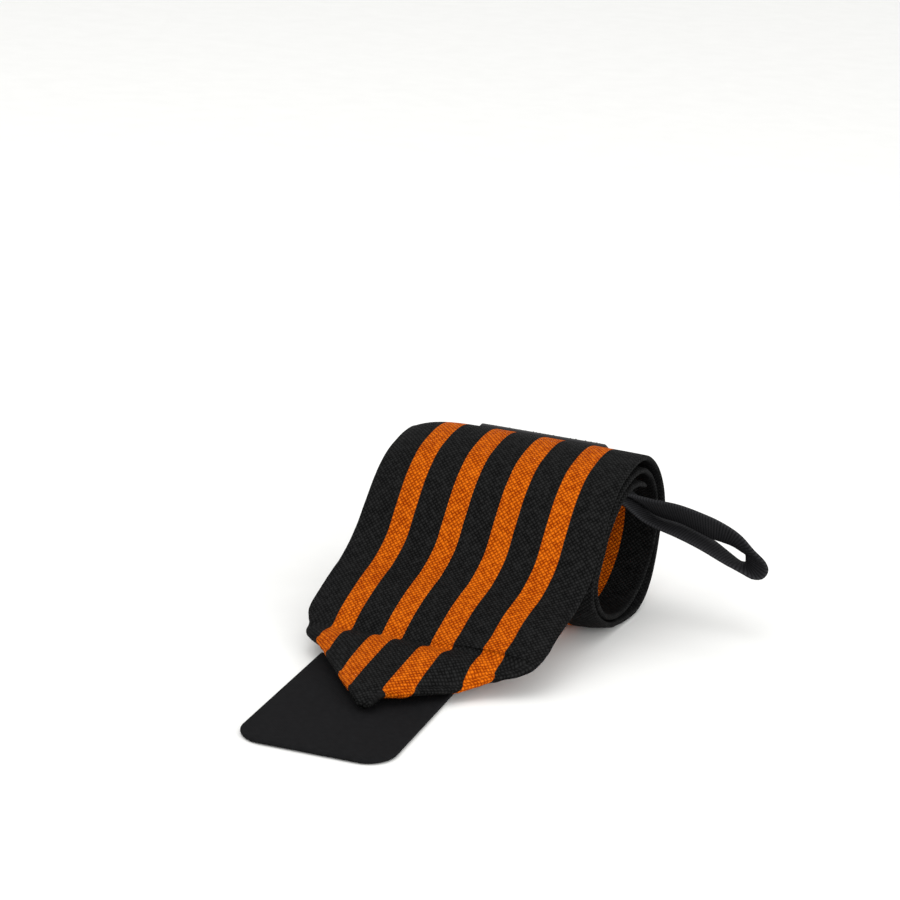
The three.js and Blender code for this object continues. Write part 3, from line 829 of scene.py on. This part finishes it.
shader.inputs["Roughness"].default_value = 0.7
shader.inputs["Specular IOR Level"].default_value = 0.04
loop.data.materials.append(ribbed_finish)
print("tape:", TAPE_WIDTH, "mm wide with", TAPE_RIBS, "ribs")

# %% [markdown]
# ## Which piece stands for which CAD solid
# Each cloth piece hides its plain CAD solid and rides on the same body.

for piece, node, slot in (
    (band, "wrap_band", "woven_elastic"),
    (patch, "pile_patch", "pile_tape"),
    (tab, "hook_tab", "hook_tape"),
    (loop, "thumb_loop", "ribbed_elastic"),
):
    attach(piece, "root")
    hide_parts(node)
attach(pile, "root")

# %% [markdown]
# ## Floor and light
# A product photo like this is lit by a big soft box overhead and a bright white room, so shadows are faint
# and the black cloth still shows its surface. One wide area light, a fill from the front, another from the
# right that reaches into the roll, and an even white world do the same. The floor is a plain pale sheet
# that reaches past the view.

# %% Floor
FLOOR_HALF = 4.0
FLOOR_Z = -0.0003
floor_mesh = bpy.data.meshes.new("floor")
floor_corners = [(-FLOOR_HALF, -FLOOR_HALF, FLOOR_Z), (FLOOR_HALF, -FLOOR_HALF, FLOOR_Z)]
floor_corners += [(FLOOR_HALF, FLOOR_HALF, FLOOR_Z), (-FLOOR_HALF, FLOOR_HALF, FLOOR_Z)]
floor_mesh.from_pydata(floor_corners, [], [(0, 1, 2, 3)])
floor = bpy.data.objects.new("floor", floor_mesh)
bpy.context.scene.collection.objects.link(floor)
floor_finish, tree, shader = new_finish("matte_white_paper")
grain = add(tree, "TexNoise", {"Scale": 400.0})
shade = add(tree, "Mix", {0: grain, 6: to_linear("#EDEDEB"), 7: to_linear("#F3F3F1")}, data_type="RGBA")
tree.links.new(shade.outputs[2], shader.inputs["Base Color"])
shader.inputs["Roughness"].default_value = 0.9
shader.inputs["Specular IOR Level"].default_value = 0.1
floor_mesh.materials.append(floor_finish)
print("the floor is", 2 * FLOOR_HALF, "metres wide")

# %% Light
world = bpy.data.worlds.new("white_room")
bpy.context.scene.world = world
world.use_nodes = True
world.node_tree.nodes["Background"].inputs["Color"].default_value = (1, 1, 1, 1)
world.node_tree.nodes["Background"].inputs["Strength"].default_value = 1.0

# name, place, point it faces, size in metres, watts
LAMPS = (
    ("soft_box_above", (-0.25, -0.25, 1.3), (-0.02, 0.0, 0.0), 1.2, 5.0),
    ("fill_from_front", (0.6, -1.2, 0.45), (0.0, 0.0, 0.02), 0.9, 4.0),
    ("fill_from_right", (1.2, -0.4, 0.35), (0.0, 0.05, 0.02), 0.8, 7.0),
)
for name, place, target, size, watts in LAMPS:
    lamp = bpy.data.lights.new(name, "AREA")
    lamp.size = size
    lamp.energy = watts
    lamp_object = bpy.data.objects.new(name, lamp)
    bpy.context.scene.collection.objects.link(lamp_object)
    lamp_object.location = place
    lamp_object.rotation_euler = (Vector(target) - Vector(place)).to_track_quat("-Z", "Y").to_euler()
bpy.context.scene.view_settings.view_transform = "Standard"
print(len(LAMPS), "lamps")

# %% [markdown]
# ## Camera
# The view is low and from the wrap's right, through a long lens, so lines across the band stay nearly
# parallel. A camera could be aimed with a constraint, but three angles and a place are exact and leave
# nothing to solve: the turn is round the vertical, the tilt is down, and the roll is about the line of
# sight.

# %% Camera
CAMERA_TURN = np.radians(24.594)
CAMERA_TILT = np.radians(17.340)
CAMERA_ROLL = np.radians(2.3196)
CAMERA_FROM_ROLL_MM = (345.50, -716.45, 292.75)
LENS_MM = 104.0

turn_cos, turn_sin = np.cos(CAMERA_TURN), np.sin(CAMERA_TURN)
look = Vector((-turn_sin * np.cos(CAMERA_TILT), turn_cos * np.cos(CAMERA_TILT), -np.sin(CAMERA_TILT)))
level_right = Vector((turn_cos, turn_sin, 0))
level_up = level_right.cross(look)
right = level_right * np.cos(CAMERA_ROLL) + level_up * np.sin(CAMERA_ROLL)
up = level_up * np.cos(CAMERA_ROLL) - level_right * np.sin(CAMERA_ROLL)

lens = bpy.data.cameras.new("camera")
lens.lens = LENS_MM
lens.clip_start = 0.05
camera = bpy.data.objects.new("camera", lens)
bpy.context.scene.collection.objects.link(camera)
stand = Matrix.Translation(Vector(TO_FRAME + CAMERA_FROM_ROLL_MM) * MM)
camera.matrix_world = stand @ Matrix((right, up, -look)).transposed().to_4x4()
bpy.context.scene.camera = camera
print("camera looks along", [round(part, 3) for part in look])
